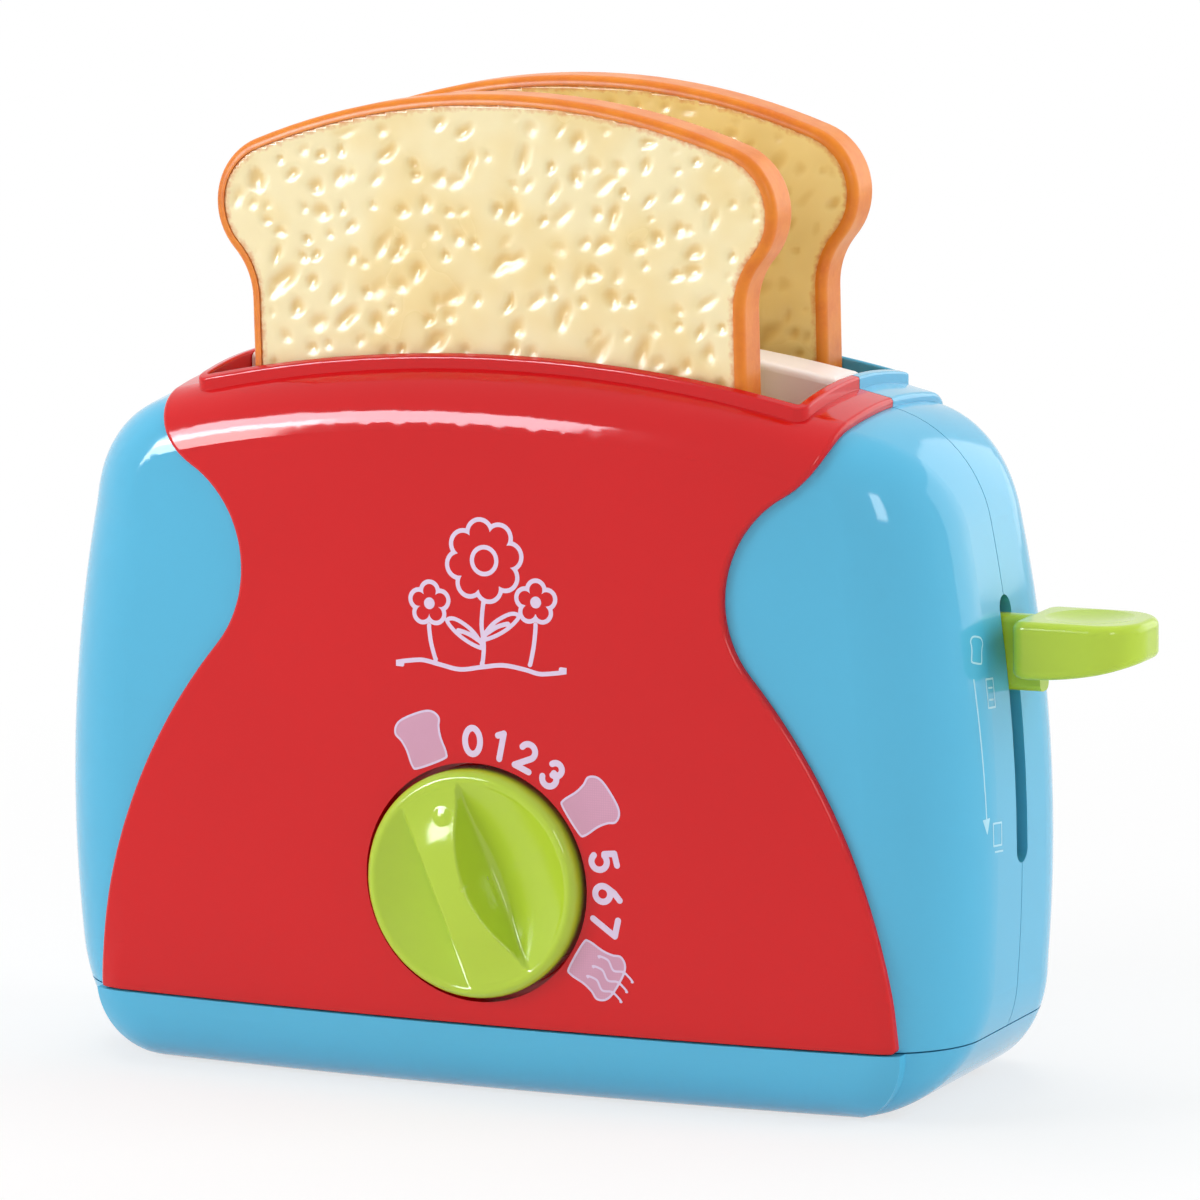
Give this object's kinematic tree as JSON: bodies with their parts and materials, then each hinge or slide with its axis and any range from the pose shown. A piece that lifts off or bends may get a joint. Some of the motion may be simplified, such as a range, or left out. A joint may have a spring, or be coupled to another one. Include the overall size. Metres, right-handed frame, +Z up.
{
  "type": "toy toaster",
  "caption": "Toy pop-up toaster with a rounded two-tone body, hourglass front panel, wind-up dial, side lever and removable toast slices.",
  "frame": {"origin": "bottom centre: on the plane that the tray stands on, midway between the sides, on the parting plane of the front and rear shells", "axes": "+X to the right seen from the dial side (towards the lever), +Y to the back, +Z up"},
  "size_m": [0.2157, 0.0769, 0.1876],
  "materials": {
    "shell_blue": "injection-moulded ABS, glossy sky blue",
    "panel_red": "injection-moulded ABS, glossy cherry red with pad-printed markings",
    "guide_white": "injection-moulded ABS, warm white, satin gloss",
    "lever_green": "injection-moulded ABS, lime green, glossy, as the dial",
    "crust_orange": "moulded PVC, toast-orange, satin",
    "crumb_cream": "moulded PVC, cream, dimpled and slightly glossy",
    "carriage_grey": "moulded POM, light grey, satin",
    "timer_grey": "moulded ABS, light grey, fine texture",
    "gear_nylon": "moulded POM, natural white",
    "governor_brass": "turned brass, bright",
    "steel_rod": "bright drawn steel, nickel plated",
    "spring_steel": "music wire, oiled",
    "screw_zinc": "zinc-plated steel"
  },
  "bodies": {
    "housing": {"front_shell": "shell_blue", "rear_shell": "shell_blue", "front_panel": "panel_red", "base_tray": "shell_blue", "bread_guide": "guide_white", "guide_rod_left": "steel_rod", "guide_rod_right": "steel_rod", "lift_spring_left": "spring_steel", "lift_spring_right": "spring_steel", "timer_case": "timer_grey", "timer_cover": "timer_grey", "barrel_arbor": "steel_rod", "governor_pin": "steel_rod", "latch_pin": "steel_rod", "base_screws": "screw_zinc", "guide_screws": "screw_zinc", "shell_screws": "screw_zinc", "panel_screws": "screw_zinc", "timer_screws": "screw_zinc", "cover_screws": "screw_zinc"},
    "carriage": {"carriage": "carriage_grey", "lever": "lever_green", "lever_screws": "screw_zinc"},
    "slice_front": {"slice_front_crust": "crust_orange", "slice_front_crumb": "crumb_cream"},
    "slice_rear": {"slice_rear_crust": "crust_orange", "slice_rear_crumb": "crumb_cream"},
    "knob": {"knob": "lever_green", "knob_shaft": "steel_rod", "drive_pinion": "gear_nylon", "release_cam": "gear_nylon"},
    "barrel": {"spring_barrel": "gear_nylon", "barrel_lid": "gear_nylon", "mainspring": "spring_steel"},
    "governor": {"governor_wheel": "governor_brass"},
    "latch": {"latch": "gear_nylon", "latch_spring": "spring_steel"}
  },
  "joints": [
    {"name": "carriage_slide", "type": "slide", "parent": "housing", "child": "carriage", "axis": [0, 0, 1], "range_m": [-0.031, 0], "stiffness_N_per_m": 86, "springref_m": 0.035, "deforming": ["lift_spring_left", "lift_spring_right"]},
    {"name": "slice_front_lift", "type": "slide", "parent": "carriage", "child": "slice_front", "axis": [0, 0, 1], "range_m": [0, 0.065]},
    {"name": "slice_rear_lift", "type": "slide", "parent": "carriage", "child": "slice_rear", "axis": [0, 0, 1], "range_m": [0, 0.065]},
    {"name": "knob_turn", "type": "hinge", "parent": "housing", "child": "knob", "pos_m": [0, -0.0369, 0.0414], "axis": [0, 1, 0], "range_deg": [0, 143], "stiffness_Nm_per_rad": 0.012, "springref_deg": -28.65},
    {"name": "barrel_turn", "type": "hinge", "parent": "housing", "child": "barrel", "pos_m": [-0.004, -0.0288, 0.02414], "axis": [0, 1, 0], "range_deg": [-53.7, 0]},
    {"name": "governor_turn", "type": "hinge", "parent": "housing", "child": "governor", "pos_m": [0.01226, -0.0288, 0.01948], "axis": [0, 1, 0], "range_deg": [0, 171.7]},
    {"name": "latch_swing", "type": "hinge", "parent": "housing", "child": "latch", "pos_m": [0.0165, -0.0102, 0.039], "axis": [0, 1, 0], "range_deg": [-12.02, 0]}
  ],
  "couplings": [
    {"joint": "barrel_turn", "follows": "knob_turn", "ratio": -0.375},
    {"joint": "governor_turn", "follows": "knob_turn", "ratio": 1.2},
    {"joint": "latch_swing", "follows": "knob_turn", "ratio": -0.083916}
  ]
}
